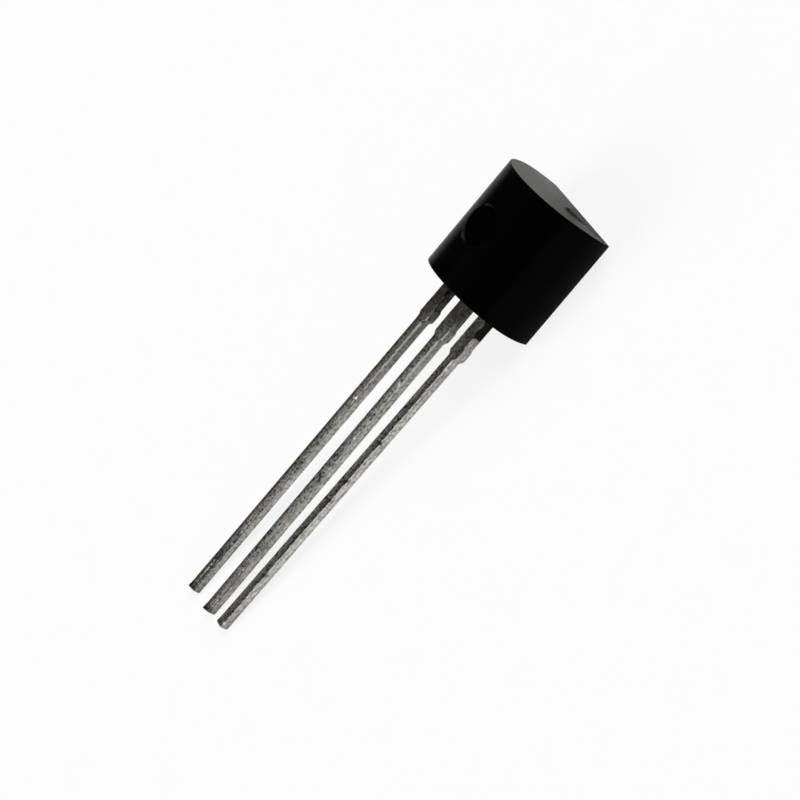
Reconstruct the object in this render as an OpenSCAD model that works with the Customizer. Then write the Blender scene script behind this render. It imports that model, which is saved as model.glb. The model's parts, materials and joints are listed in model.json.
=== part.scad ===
// Small-signal transistor in a moulded D-shaped plastic package with three leads, millimetres.
// Construction frame: Z runs along the package axis, 0 at the seating plane where the leads leave
// the moulding and positive towards the head; X runs along the row of leads; the flat faces +Y.
// Every sub-part is drawn in that frame. as_it_lies() then lays the whole part down on its flat,
// tipped until the lead tips touch the ground, with +Z up and +X towards the head.

/* [Moulded body] */
// Diameter of the round side
body_d = 4.68; // [4.4:0.02:5.2]
// Distance from the package axis to the flat
flat_offset = 1.1; // [0.9:0.02:1.3]
// Height from the seating plane to the head, at the parting plane
body_h = 4.58; // [4.4:0.02:5.2]
// Draft of the end faces on the round half of the mould, in degrees
round_draft = 1.3; // [0.5:0.1:4]
// Draft of the end faces on the flat half of the mould, in degrees
flat_draft = 1.6; // [0.5:0.1:4]

/* [Ejector pin mark] */
// Diameter of the flat-bottomed mark that the ejector pin leaves in the round side
ejector_d = 1.6; // [1.2:0.05:2]
// Depth of the mark below the crown of the round side
ejector_depth = 0.22; // [0.16:0.02:0.38]
// Height of the mark's centre above the seating plane
ejector_z = 2.33; // [1.8:0.01:2.6]

/* [Gate vestige] */
// Width of the broken gate stub's wall on the head
gate_w = 0.88; // [0.6:0.02:1.2]
// Run of the stub, from its wall down to nothing towards the flat
gate_run = 0.56; // [0.3:0.02:0.8]
// Height of the stub's wall at its tall end
gate_h = 0.09; // [0.04:0.01:0.12]
// Fall of the stub along its width, in degrees
gate_fall = 6; // [0:0.5:6]
// Turn of the stub's wall from the parting line towards the flat, in degrees
gate_turn = 35; // [0:1:45]
// Place of the stub's tall end along the parting line
gate_x = 0.62; // [0.3:0.02:0.7]

/* [Leads] */
// Centre distance between neighbouring leads
pitch = 1.27; // [1.2:0.01:1.35]
// Thickness of the lead frame strip
lead_t = 0.36; // [0.3:0.01:0.42]
// Width of a lead below its shoulder
lead_w = 0.42; // [0.36:0.01:0.5]
// Radius along the edges of a lead
edge_r = 0.06; // [0.03:0.01:0.1]
// Distance from the strip's mid-plane to the flat of the body
leads_to_flat = 1.42; // [1.3:0.02:1.6]
// Length of the collector lead below the seating plane
collector_len = 14.95; // [13:0.05:16]
// Length of the base lead below the seating plane
base_len = 14.87; // [13:0.01:16]
// Length of the emitter lead below the seating plane
emitter_len = 14.74; // [13:0.01:16]
// Lean of the collector lead in the plane of the row, in degrees
collector_lean = 0.62; // [-1:0.02:1.4]
// Lean of the base lead in the plane of the row, in degrees
base_lean = 0.28; // [-1:0.02:1.4]
// Lean of the emitter lead in the plane of the row, in degrees
emitter_lean = 1.22; // [-1:0.02:1.4]

/* [Lead shoulders] */
// Width of the base and emitter leads where they leave the body
shoulder_w = 0.62; // [0.54:0.01:0.66]
// Width of the collector lead where it leaves the body
collector_shoulder_w = 0.58; // [0.54:0.01:0.66]
// Width over the sheared stubs of the dam bar
dam_w = 0.69; // [0.68:0.01:0.8]
// How far the shear left the stubs off centre, towards the emitter
dam_shift = 0.02; // [-0.03:0.01:0.03]
// Distance from the seating plane to the start of the dam bar stub
dam_top = 1.22; // [0.9:0.02:1.4]
// Distance from the seating plane to the end of the shoulder
shoulder_end = 1.93; // [1.8:0.01:2.2]
// Length of the slope at the top of the dam bar stub
dam_slope = 0.14; // [0.08:0.01:0.2]
// Length of the slope from the stub down to the plain lead
shoulder_slope = 0.2; // [0.1:0.01:0.3]

/* [Lead frame inside the body] */
// Width of the necks that carry the pad and the bond posts
neck_w = 0.56; // [0.45:0.01:0.58]
// Width of the die pad, from the outer edge of the collector's neck
pad_w = 2.04; // [1.8:0.02:2.2]
// Length of the die pad along the package axis
pad_len = 1.4; // [1.1:0.02:1.6]
// Height of the die pad's lower edge above the seating plane
pad_z = 2.4; // [2.2:0.02:2.6]
// Radius of the locking notches in the edges of the pad's neck
notch_r = 0.13; // [0.08:0.01:0.16]
// Width of the bond posts
post_w = 0.86; // [0.7:0.02:0.9]
// Length of the bond posts along the package axis
post_len = 0.66; // [0.5:0.02:0.8]
// Height of the base post's upper end above the seating plane
base_post_z = 1.86; // [1.6:0.02:2]
// Height of the emitter post's upper end above the seating plane
emitter_post_z = 3.2; // [2.6:0.02:3.6]

/* [Die and bond wires] */
// Side of the square die
die_w = 0.44; // [0.36:0.02:0.6]
// Thickness of the die
die_t = 0.2; // [0.12:0.01:0.26]
// Distance from the die pad's free edge to the middle of the die
die_inset = 0.52; // [0.4:0.02:0.7]
// Thickness of the die attach layer
attach_t = 0.03; // [0.02:0.01:0.05]
// Width of the die attach fillet all round the die
attach_rim = 0.04; // [0.02:0.01:0.08]
// Diameter of the bond wires
wire_d = 0.05; // [0.04:0.005:0.06]
// Diameter of the bonds at the ends of a wire
bond_d = 0.12; // [0.1:0.01:0.14]
// Height of the bonds at the ends of a wire
bond_h = 0.05; // [0.045:0.005:0.06]
// Rise of a wire's arch over the line between its bonds
wire_rise = 0.3; // [0.15:0.01:0.4]
// Distance between the middles of the two bond sites on the die
bond_site_gap = 0.2; // [0.18:0.01:0.22]

/* [Hidden] */
$fn = 96;

body_r = body_d / 2;
// The strip's mid-plane, which is the parting plane of the mould, and its two faces
strip_y = flat_offset - leads_to_flat;
strip_bond_y = strip_y + lead_t / 2;
strip_back_y = strip_y - lead_t / 2;
// How far an end face falls from the parting plane to the crown and to the flat
round_fall = (body_r + strip_y) * tan(round_draft);
flat_fall = leads_to_flat * tan(flat_draft);
// How far a cutting or joining solid runs past the surface that it crosses
over = 0.5;
// How far a lead's straight and leaning stretches overlap inside the body
root_low = 0.1;
root_high = 0.32;

// Places on the lead frame, along the row and along the axis
collector_x = -pitch;
emitter_x = pitch;
pad_left = collector_x - neck_w / 2;
pad_right = pad_left + pad_w;
die_x = pad_right - die_inset;
die_z = pad_z + pad_len / 2;
die_foot_y = strip_bond_y + attach_t;
die_top_y = die_foot_y + die_t;
// Bond sites: [x, y, z] on the die's face and on the posts
base_site = [die_x - bond_site_gap / 2, die_top_y, die_z - bond_site_gap / 2];
emitter_site = [die_x + bond_site_gap / 2, die_top_y, die_z + bond_site_gap / 2];
base_post_site = [0, strip_bond_y, base_post_z - post_len / 2];
emitter_post_site = [emitter_x - post_w / 4, strip_bond_y, emitter_post_z - post_len / 2];

// Lying pose: the part pivots on the lead-side edge of its flat until the longest lead touches
longest = max(collector_len, base_len, emitter_len);
rest_tip = atan((leads_to_flat - lead_t / 2) / (longest + flat_fall));
// Ends of the lying part along the ground, measured from the pivot edge
flat_reach = (body_h - 2 * flat_fall) * cos(rest_tip);
gate_reach = (body_h + gate_h * cos(gate_fall) - flat_fall) * cos(rest_tip)
             - leads_to_flat * sin(rest_tip);
head_reach = max(flat_reach, gate_reach);
tip_reach = (longest + flat_fall) * cos(rest_tip) + (leads_to_flat + lead_t / 2) * sin(rest_tip);

module as_it_lies() {
    translate([(tip_reach - head_reach) / 2, 0, 0])
        rotate([0, -rest_tip, 0])
            translate([-flat_fall, 0, flat_offset])
                rotate([-90, 0, -90])
                    children();
}

// Carries a drawing of Y and Z along X, from x0 over a length
module along_row(x0, length) {
    translate([x0, 0, 0]) rotate([90, 0, 90]) linear_extrude(length) children();
}

// Gives a drawing of X and Z the thickness of the strip
module stamped() {
    translate([0, strip_back_y + lead_t, 0])
        rotate([90, 0, 0]) linear_extrude(lead_t) children();
}

// ---- moulded body ----

module d_section() {
    intersection() {
        circle(d = body_d);
        translate([-body_d, -body_d]) square([2 * body_d, body_d + flat_offset]);
    }
}

// Side view of the body: both end faces fall away from the parting plane to let the mould open
module drafted_profile() {
    polygon([
        [-body_r, round_fall],
        [strip_y, 0],
        [flat_offset, flat_fall],
        [flat_offset, body_h - flat_fall],
        [strip_y, body_h],
        [-body_r, body_h - round_fall]
    ]);
}

module gate_stub() {
    translate([gate_x, strip_y, body_h]) rotate([0, gate_fall, gate_turn])
        along_row(0, gate_w)
            polygon([[0, -over], [0, gate_h], [gate_run, -gate_run * tan(flat_draft)], [gate_run, -over]]);
}

module ejector_mark() {
    translate([0, ejector_depth - body_r, ejector_z])
        rotate([90, 0, 0]) cylinder(d = ejector_d, h = ejector_depth + over);
}

module body_blank() {
    difference() {
        union() {
            intersection() {
                linear_extrude(body_h) d_section();
                along_row(-body_d, 2 * body_d) drafted_profile();
            }
            gate_stub();
        }
        ejector_mark();
    }
}

// ---- lead frame ----

// Section of a lead with its edges rounded, centred on the origin
module lead_section(w) {
    square([w - 2 * edge_r, lead_t], center = true);
    square([w, lead_t - 2 * edge_r], center = true);
    for (x = [-1, 1], y = [-1, 1])
        translate([x * (w / 2 - edge_r), y * (lead_t / 2 - edge_r)]) circle(r = edge_r, $fn = 32);
}

// Outline of the shoulder: plain neck, dam bar stub, slope down to the lead. Each row is a half
// width, a height, and how far its middle stands off the lead's
module shoulder_outline(top_w) {
    rows = [[top_w / 2, root_high, 0], [top_w / 2, -dam_top, 0], [dam_w / 2, -dam_top - dam_slope, dam_shift],
            [dam_w / 2, shoulder_slope - shoulder_end, dam_shift], [lead_w / 2 - edge_r, -shoulder_end, 0]];
    polygon([for (r = rows) [r[2] + r[0], r[1]], for (i = [4:-1:0]) [rows[i][2] - rows[i][0], rows[i][1]]]);
}

// What stands outside the body, turned by the lead's lean about the place where it leaves
module outer_lead(x, length, lean, top_w) {
    translate([x, 0, 0]) rotate([0, lean, 0]) {
        translate([0, strip_y, -length]) linear_extrude(length + root_low) lead_section(lead_w);
        intersection() {
            stamped() shoulder_outline(top_w);
            translate([dam_shift, strip_y, -shoulder_end - over])
                linear_extrude(shoulder_end + over + root_high) lead_section(dam_w);
        }
    }
}

module neck(x, top) {
    translate([x - neck_w / 2, root_low]) square([neck_w, top - root_low]);
}

// A bond post: a neck with a wider head that locks it in the moulding
module post(x, top) {
    stamped() {
        neck(x, top - post_len / 2);
        translate([x - post_w / 2, top - post_len]) square([post_w, post_len]);
    }
}

module collector_shape() {
    outer_lead(collector_x, collector_len, collector_lean, collector_shoulder_w);
    stamped() difference() {
        union() {
            neck(collector_x, pad_z + over);
            translate([pad_left, pad_z]) square([pad_w, pad_len]);
        }
        for (side = [-1, 1])
            translate([collector_x + side * neck_w / 2, pad_z / 2]) circle(r = notch_r);
    }
}

module base_shape() {
    outer_lead(0, base_len, base_lean, shoulder_w);
    post(0, base_post_z);
}

module emitter_shape() {
    outer_lead(emitter_x, emitter_len, emitter_lean, shoulder_w);
    post(emitter_x, emitter_post_z);
}

// ---- die, die attach and bond wires ----

module on_pad(w, foot, t) {
    translate([die_x - w / 2, foot, die_z - w / 2]) cube([w, t, w]);
}

module die_shape() {
    on_pad(die_w, die_foot_y, die_t);
}

module attach_shape() {
    on_pad(die_w + 2 * attach_rim, strip_bond_y, attach_t);
}

module bond(site) {
    translate(site) rotate([-90, 0, 0]) cylinder(d = bond_d, h = bond_h, $fn = 32);
}

// A wire that arches from one bond to the other, as an arc of a circle through both
module wire_shape(from, to) {
    lift = bond_h / 2;
    step = to - from;
    chord = norm(step);
    arc_r = (chord * chord / 4 + wire_rise * wire_rise) / (2 * wire_rise);
    half = asin(chord / (2 * arc_r));
    run = norm([step[0], step[2]]);
    bond(from);
    bond(to);
    translate(from + [0, lift, 0])
        rotate([0, -atan2(step[2], step[0]), 0])
            rotate([0, 0, atan2(step[1], run)])
                translate([chord / 2, wire_rise - arc_r, 0])
                    rotate([0, 0, 90 - half])
                        rotate_extrude(angle = 2 * half) translate([arc_r, 0]) circle(d = wire_d, $fn = 24);
}

module base_wire_shape() {
    wire_shape(base_site, base_post_site);
}

module emitter_wire_shape() {
    wire_shape(emitter_site, emitter_post_site);
}

// ---- sub-parts ----

// The moulding is filled round the lead frame, so its cavities are the pieces themselves
module body() {
    color([0.05, 0.05, 0.05]) as_it_lies() difference() {
        body_blank();
        collector_shape();
        base_shape();
        emitter_shape();
        attach_shape();
        die_shape();
        base_wire_shape();
        emitter_wire_shape();
    }
}

module collector_lead() {
    color([0.55, 0.54, 0.52]) as_it_lies() collector_shape();
}

module base_lead() {
    color([0.55, 0.54, 0.52]) as_it_lies() base_shape();
}

module emitter_lead() {
    color([0.55, 0.54, 0.52]) as_it_lies() emitter_shape();
}

module die() {
    color([0.35, 0.37, 0.42]) as_it_lies() die_shape();
}

module die_attach() {
    color([0.75, 0.75, 0.78]) as_it_lies() attach_shape();
}

module base_wire() {
    color([0.9, 0.7, 0.3]) as_it_lies() base_wire_shape();
}

module emitter_wire() {
    color([0.9, 0.7, 0.3]) as_it_lies() emitter_wire_shape();
}

body();
collector_lead();
base_lead();
emitter_lead();
die();
die_attach();
base_wire();
emitter_wire();
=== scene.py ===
"""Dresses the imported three-lead transistor. The moulding and the leads become finished surfaces, the
die and its wires get their own finishes, and the part lies in a plain white cove between two lamps."""
import json
import math
from functools import partial

import bpy
import numpy as np
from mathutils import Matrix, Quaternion, Vector


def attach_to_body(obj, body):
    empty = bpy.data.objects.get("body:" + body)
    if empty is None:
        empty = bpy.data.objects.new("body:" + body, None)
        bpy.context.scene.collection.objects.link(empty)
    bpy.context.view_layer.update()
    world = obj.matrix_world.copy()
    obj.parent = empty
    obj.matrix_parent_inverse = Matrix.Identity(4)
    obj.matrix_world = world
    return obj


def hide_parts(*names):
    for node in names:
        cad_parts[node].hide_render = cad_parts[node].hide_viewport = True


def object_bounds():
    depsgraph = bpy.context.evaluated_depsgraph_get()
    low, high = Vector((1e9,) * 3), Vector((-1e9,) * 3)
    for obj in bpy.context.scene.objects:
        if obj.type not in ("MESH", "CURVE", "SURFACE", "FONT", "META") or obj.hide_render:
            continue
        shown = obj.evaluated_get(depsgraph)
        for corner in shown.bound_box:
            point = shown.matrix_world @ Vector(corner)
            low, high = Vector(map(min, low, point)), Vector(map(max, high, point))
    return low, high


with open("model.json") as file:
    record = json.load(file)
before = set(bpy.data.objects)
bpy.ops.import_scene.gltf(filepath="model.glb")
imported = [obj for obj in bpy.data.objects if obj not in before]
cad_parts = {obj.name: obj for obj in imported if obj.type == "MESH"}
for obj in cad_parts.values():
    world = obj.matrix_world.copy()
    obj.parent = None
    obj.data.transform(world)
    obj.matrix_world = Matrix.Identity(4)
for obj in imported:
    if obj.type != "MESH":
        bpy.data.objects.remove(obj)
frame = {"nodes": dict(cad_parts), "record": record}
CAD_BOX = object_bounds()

bl_info = {
    "name": "Moulded Transistor",
    "version": (1, 0, 0),
    "blender": (4, 5, 0),
    "location": "View3D > Sidebar > Transistor",
    "description": "Finishes a lying three-lead transistor and its studio",
    "category": "Object",
}

# A millimetre in metres, and the one rigid body, on which every piece rides
MM = 0.001
BODY = "root"


# ---- the package's own frame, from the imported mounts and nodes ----
# X runs along the row of leads, Y out of the flat and Z to the head. The origin is the place where
# the middle of the strip leaves the moulding, between the outer leads. All lengths are in metres.

def unit(v):
    """A vector scaled to length 1."""
    v = np.asarray(v, float)
    return v / np.linalg.norm(v)


MOUNTS = {m["name"]: m for m in frame["record"]["mounts"]}
ORIGIN = np.asarray(MOUNTS["board_leads"]["pos_m"])
TO_FLAT = unit(MOUNTS["marking_face"]["axis"])
TO_HEAD = -unit(MOUNTS["board_leads"]["axis"])
PACKAGE = np.array([np.cross(TO_FLAT, TO_HEAD), TO_FLAT, TO_HEAD])


def to_row(points):
    """Points of the package's frame, turned and moved to the row frame."""
    return points @ PACKAGE + ORIGIN


def to_package(points):
    """Points of the row frame, seen from the package's frame."""
    return (points - ORIGIN) @ PACKAGE.T


def node_points(node):
    """The vertices of a CAD node in the package's frame."""
    mesh = frame["nodes"][node].data
    points = np.empty(len(mesh.vertices) * 3)
    mesh.vertices.foreach_get("co", points)
    return to_package(points.reshape(-1, 3))


# Vertices this near to a node's end lie on that end
SLIVER = 0.02 * MM
# Width of the soft ridge that the draft leaves along the parting plane
RIDGE_W = 0.3 * MM
BODY_POINTS = node_points("body")
BODY_R = np.ptp(BODY_POINTS[:, 0]) / 2
CROWN_Y = BODY_POINTS[:, 1].min()
FLAT_Y = BODY_POINTS[:, 1].max()
AXIS_Y = CROWN_Y + BODY_R
BODY_H = 2 * to_package(np.asarray(MOUNTS["marking_face"]["pos_m"]))[2]
# How far an end face falls back at the crown and at the flat, where the mould's draft is greatest
CROWN_FALL = BODY_POINTS[BODY_POINTS[:, 1] < CROWN_Y + SLIVER, 2].min()
FLAT_FALL = BODY_POINTS[BODY_POINTS[:, 1] > FLAT_Y - SLIVER, 2].min()


def end_fall(y):
    """Fall of both end faces: 0 on the parting plane, and near straight from there to the crown and
    flat, where the distance d from the plane counts as sqrt(d^2 + w^2) - w, so its ridge is soft."""
    soft = np.sign(y) * (np.hypot(y, RIDGE_W) - RIDGE_W)
    return np.interp(soft, [CROWN_Y, 0, FLAT_Y], [CROWN_FALL, 0, FLAT_FALL])


# ---- numbers in whole arrays ----

def smoothstep(low, high, x):
    """0 below low, 1 above high, and 3t^2 - 2t^3 between them."""
    t = np.clip((x - low) / (high - low), 0, 1)
    return t * t * (3 - 2 * t)


# Large odd numbers and shifts that scatter neighbouring cells, and the range they scatter over
HASH_X, HASH_Y, HASH_SEED, HASH_MIX = 374761393, 668265263, 974634777, 1274126177
HASH_FIRST, HASH_LAST, HASH_RANGE = 13, 16, 0xFFFFFFFF


def value_noise(x, y, seed, wrap=None):
    """Smooth random heights from -1 to 1, one value to each unit cell.

    Each lattice corner has a value mixed from its whole-number place and the seed, and a point blends
    its cell's four corners with the weights 3t^2 - 2t^3. With wrap, x repeats after that many cells."""
    x, y = np.broadcast_arrays(x, y)
    xi, yi = np.floor(x).astype(np.int64), np.floor(y).astype(np.int64)

    def corner(i, j):
        i = i % wrap if wrap else i
        h = (i * HASH_X + j * HASH_Y + seed * HASH_SEED) & HASH_RANGE
        h = ((h ^ (h >> HASH_FIRST)) * HASH_MIX) & HASH_RANGE
        return (h ^ (h >> HASH_LAST)) / (HASH_RANGE // 2) - 1

    sx, sy = smoothstep(0, 1, x - xi), smoothstep(0, 1, y - yi)
    near = corner(xi, yi) * (1 - sx) + corner(xi + 1, yi) * sx
    far = corner(xi, yi + 1) * (1 - sx) + corner(xi + 1, yi + 1) * sx
    return near * (1 - sy) + far * sy


def fractal(x, y, seed, octaves=3):
    """Value noise summed over octaves, each twice as fine and half as high as the one before."""
    return sum(value_noise(x * 2**k, y * 2**k, seed + k) / 2**k for k in range(octaves))


def quarter(steps):
    """Angles of a quarter turn, from 0 to 90 degrees with both ends."""
    return np.linspace(0, math.pi / 2, steps + 1)


# ---- meshes from whole arrays ----

# Edges that bend by more than this are shaded as sharp
SHARP_ANGLE = math.radians(55)


def band(first, second):
    """Quads between two closed rings of vertex numbers. They face out where the rings run
    anticlockwise seen from above and the second lies below the first."""
    return np.stack([first, second, np.roll(second, -1, -1), np.roll(first, -1, -1)], axis=-1)


def fan(pole, ring):
    """Triangles from a pole to a closed ring of vertex numbers."""
    return np.stack([np.full(len(ring), pole), ring, np.roll(ring, -1)], axis=1)


class Shell:
    """Vertices, faces, UVs and named values per vertex, gathered part by part and made one object."""

    def __init__(self, *value_names):
        self.points, self.uvs, self.faces = [], [], []
        self.values = {name: [] for name in value_names}
        self.count = 0

    def add_points(self, points, uv=None, **values):
        """Adds points of shape (..., 3) and returns their vertex numbers in the same layout."""
        shape = points.shape[:-1]
        self.points.append(points.reshape(-1, 3))
        self.uvs.append(np.zeros((*shape, 2)).reshape(-1, 2) if uv is None else uv.reshape(-1, 2))
        for name, parts in self.values.items():
            parts.append(np.broadcast_to(values.get(name, 0.0), shape).ravel())
        numbers = np.arange(self.count, self.count + math.prod(shape))
        self.count += len(numbers)
        return numbers.reshape(shape)

    def add_faces(self, faces):
        """Adds faces of 3 or 4 vertex numbers, in an array of any shape that ends in them."""
        self.faces.append(faces.reshape(-1, faces.shape[-1]))

    def close_ends(self, rings, numbers, uv=None, **values):
        """Closes the first and the last ring, each with a fan from a pole in its middle."""
        for end, order in ((0, 1), (-1, -1)):
            middles = {k: np.broadcast_to(v, rings.shape[:-1])[end].mean() for k, v in values.items()}
            pole_uv = None if uv is None else uv[end].mean(axis=0)[None]
            pole = self.add_points(rings[end].mean(axis=0)[None], pole_uv, **middles)[0]
            self.add_faces(fan(pole, numbers[end][::order]))

    def add_rings(self, rings, uv=None, **values):
        """Adds a closed surface from rings of shape (rings, around, 3)."""
        numbers = self.add_points(rings, uv, **values)
        self.add_faces(band(numbers[:-1], numbers[1:]))
        self.close_ends(rings, numbers, uv, **values)

    def make(self, name, material, slot_name, *nodes):
        """The finished object. It rides on the body, and stands for the CAD nodes named."""
        used, corners = np.unique(np.concatenate([f.ravel() for f in self.faces]), return_inverse=True)
        sides = np.concatenate([np.full(len(f), f.shape[1]) for f in self.faces])
        mesh = bpy.data.meshes.new(name)
        mesh.vertices.add(len(used))
        mesh.vertices.foreach_set("co", to_row(np.concatenate(self.points)[used]).ravel())
        mesh.loops.add(len(corners))
        mesh.loops.foreach_set("vertex_index", corners)
        mesh.polygons.add(len(sides))
        mesh.polygons.foreach_set("loop_start", np.cumsum(sides) - sides)
        mesh.polygons.foreach_set("use_smooth", np.ones(len(sides), bool))
        mesh.update(calc_edges=True)
        mesh.set_sharp_from_angle(angle=SHARP_ANGLE)
        uv = mesh.uv_layers.new(name="UVMap")
        uv.data.foreach_set("uv", np.concatenate(self.uvs)[used][corners].ravel())
        for key, parts in self.values.items():
            layer = mesh.attributes.new(key, "FLOAT", "POINT")
            layer.data.foreach_set("value", np.concatenate(parts)[used])
        if mesh.validate():
            raise RuntimeError(f"{name} has faces that Blender had to mend")
        mesh.materials.append(material)
        piece = bpy.data.objects.new(name, mesh)
        bpy.context.scene.collection.objects.link(piece)
        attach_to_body(piece, BODY)
        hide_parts(*nodes)
        return piece


# ---- shape of the moulding ----

# Steps round the D outline: along the round side, round a corner and along the flat
ARC_STEPS, CORNER_STEPS, CHORD_STEPS = 300, 8, 96
# Steps from an end face's middle to its rim, round the rim and down the side
FACE_STEPS, RIM_STEPS, SIDE_STEPS = 61, 5, 91
# Steps of the ejector mark: over the round side, round its lip and over its floor
SLIDE_STEPS, LIP_STEPS, FLOOR_STEPS = 7, 4, 15
# Steps along a side of the gate stub, and rings over it
GATE_STEPS, GATE_RINGS = 40, 34
# Size of the smallest ring on an end face, on the mark's floor and on the stub, as a share
FACE_POLE, FLOOR_POLE, GATE_POLE = 0.01, 0.04, 0.02
# The frame of side points round the mark reaches this share of its diameter from the centre
FRAME_SHARE = 0.58
# Painted highlight on the mark's lip, ring by ring from the outside in, how many cells of it there
# are in one radian, and the noise at which a patch of it is full
LIP_HIGHLIGHT, PATCHES, PATCH_FULL = (0.1, 0.4, 0.8, 1, 0.3), 4, 0.6
# Height of the stub's wall at places along it, both as shares
GATE_PROFILE = ((0, 0.5), (0.06, 0.75), (0.22, 1), (0.45, 0.95), (1, 0.1))
# How far the stub's edge is chipped down, and how deep its foot stands in the moulding
GATE_CHIP, GATE_ROOT = 0.02 * MM, 0.12 * MM
# Depth and cell of the torn resin on the stub, and of the rough zone behind it
TORN_DEPTH, TORN_CELL = 0.016 * MM, 0.09 * MM
ROUGH_DEPTH, ROUGH_CELL = 0.008 * MM, 0.13 * MM
# Where the rough zone starts and where it is full, behind the stub's wall and beside its line to
# the flat, that line's lean, and how far and over what cell both edges wander
ZONE_WALL, ZONE_LINE, ZONE_LEAN = (-0.06 * MM, 0.1 * MM), (-0.1 * MM, 0.15 * MM), 0.8
ZONE_WANDER, ZONE_CELL = 0.06 * MM, 0.2 * MM


def d_outline(corner_r):
    """Outline of the D section, anticlockwise seen from the head, and its outward directions.

    The round side is the circle x^2 + (y - axis)^2 = R^2 and the flat the line y = flat. A corner is
    a circle of the corner radius that touches both: its centre is R - r from the axis and r below
    the flat. Both corners meet the round side at the angle a, where sin a = (flat - axis - r) / (R - r)."""
    side = math.asin((FLAT_Y - AXIS_Y - corner_r) / (BODY_R - corner_r))
    corner_x = (BODY_R - corner_r) * math.cos(side)
    right = np.linspace(side, math.pi / 2, CORNER_STEPS + 1)
    left = np.linspace(math.pi / 2, math.pi - side, CORNER_STEPS + 1)
    arc = np.linspace(math.pi - side, 2 * math.pi + side, ARC_STEPS + 1)[1:-1]
    chord = np.linspace(corner_x, -corner_x, CHORD_STEPS + 1)[1:-1]
    angles = np.concatenate([right, np.full(len(chord), math.pi / 2), left, arc])
    along = np.concatenate([np.full(len(right), corner_x), chord, np.full(len(left), -corner_x)])
    outward = np.stack([np.cos(angles), np.sin(angles)], axis=1)
    tips = np.stack([along, np.full(len(along), FLAT_Y - corner_r)], axis=1)
    rounded = tips + corner_r * outward[: len(tips)]
    circle = [0, AXIS_Y] + BODY_R * outward[len(tips):]
    return np.concatenate([rounded, circle]), outward


def end_rings(outline, outward, rim_r, shares, rim_angles, top):
    """Rings of an end face, from its middle to the rim, and of the rounded rim round it.

    A face ring is the outline, set in by the rim radius r and shrunk to a share of its size about
    its middle. A rim ring stands in by r (1 - sin a) and lies r (1 - cos a) behind the face."""
    inner = outline - rim_r * outward
    middle = inner.mean(axis=0)
    face = middle + shares[:, None, None] * (inner - middle)
    rim = outline - rim_r * (1 - np.sin(rim_angles))[:, None, None] * outward
    xy = np.concatenate([face, rim])
    depth = np.concatenate([np.zeros(len(shares)), rim_r * (1 - np.cos(rim_angles))])[:, None]
    fall = end_fall(xy[..., 1]) + depth
    return np.dstack([xy, BODY_H - fall if top else fall])


def round_side_y(x):
    """Height of the round side over the row of leads: axis - sqrt(R^2 - x^2)."""
    return AXIS_Y - np.sqrt(BODY_R**2 - x**2)


def ejector_rings(frame_xz, s):
    """Rings from a frame of side-wall points in to the floor of the ejector mark, with their values
    for the floor and for the painted highlight on the lip.

    A frame point at the angle a about the mark's centre is joined to the circle's point at the same
    angle. The first rings slide over the round side, then a quarter circle of the lip radius turns
    down into the wall, and a second one out into the flat floor, which shrinks to the centre. The
    lip gets a painted highlight in patches, by noise of the angle."""
    radius, lip = s.ejector_diameter / 2, s.ejector_lip
    offset = frame_xz - [0, s.ejector_height]
    angle = np.arctan2(offset[:, 1], offset[:, 0])
    spoke = np.stack([np.cos(angle), np.sin(angle)], axis=1)
    floor_y = CROWN_Y + s.ejector_depth
    turn = quarter(LIP_STEPS)
    slide = np.linspace(0, 1, SLIDE_STEPS + 1)[1:, None, None]
    over = slide * (radius + lip) * spoke + (1 - slide) * offset
    reach = np.concatenate([
        radius + lip * (1 - np.sin(turn[1:])),
        radius - lip * (1 - np.cos(turn)),
        (radius - lip) * np.linspace(1, FLOOR_POLE, FLOOR_STEPS + 1)[1:]])
    xz = np.concatenate([over, reach[:, None, None] * spoke])
    edge_y = round_side_y(radius * spoke[:, 0])
    y = np.concatenate([
        round_side_y(over[..., 0]),
        edge_y + lip * (1 - np.cos(turn[1:]))[:, None],
        floor_y - lip * (1 - np.sin(turn))[:, None] + 0 * edge_y,
        floor_y + np.zeros((FLOOR_STEPS, len(edge_y)))])
    on_floor, painted_highlight = np.zeros((2, len(xz), 1))
    on_floor[len(over) + 2 * LIP_STEPS:] = 1
    # Painted highlight on the lip, ring by ring, broken into patches by noise of the angle
    painted_highlight[len(over): len(over) + len(LIP_HIGHLIGHT), 0] = LIP_HIGHLIGHT
    patches = fractal(angle * PATCHES, 0 * angle, seed=77)
    painted_highlight = painted_highlight * smoothstep(-PATCH_FULL, PATCH_FULL, patches)
    return np.dstack([xz[..., 0], y, xz[..., 1] + s.ejector_height]), on_floor, painted_highlight


def square_outline(steps):
    """Points round the unit square, anticlockwise from its first corner, steps to a side."""
    t = np.arange(steps) / steps
    zero, one = np.zeros(steps), np.ones(steps)
    return np.stack([np.concatenate([t, one, 1 - t, zero]), np.concatenate([zero, t, one, 1 - t])], axis=1)


def gate_rings(s):
    """Rings over the broken gate stub, from its middle outwards and down its four walls.

    The stub is a rectangle turned about its tall corner, which stands on the parting line. With a
    the share along the wall and b the share of the run behind it, the top lies height p(a) (1 - b)
    over the head, less fractal noise for the torn resin, where p rises quickly and falls slowly.
    The walls are straight and their foot stands in the moulding."""
    square = square_outline(GATE_STEPS)
    shares = np.concatenate([np.linspace(GATE_POLE, 1, GATE_RINGS), [1, 1]])[:, None, None]
    across, along = np.moveaxis(0.5 + shares * (square - 0.5), -1, 0)
    wall, run = across * s.gate_width, along * s.gate_run
    x = s.gate_x + wall * math.cos(s.gate_turn) - run * math.sin(s.gate_turn)
    y = wall * math.sin(s.gate_turn) + run * math.cos(s.gate_turn)
    head_z = BODY_H - end_fall(y)
    torn = TORN_DEPTH * np.abs(fractal(x / TORN_CELL, y / TORN_CELL, seed=7, octaves=4))
    z = head_z + s.gate_height * np.interp(across, *zip(*GATE_PROFILE)) * (1 - along) - torn
    z[-2] -= GATE_CHIP
    z[-1] = head_z[-1] - GATE_ROOT
    return np.dstack([x, y, z])


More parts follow.
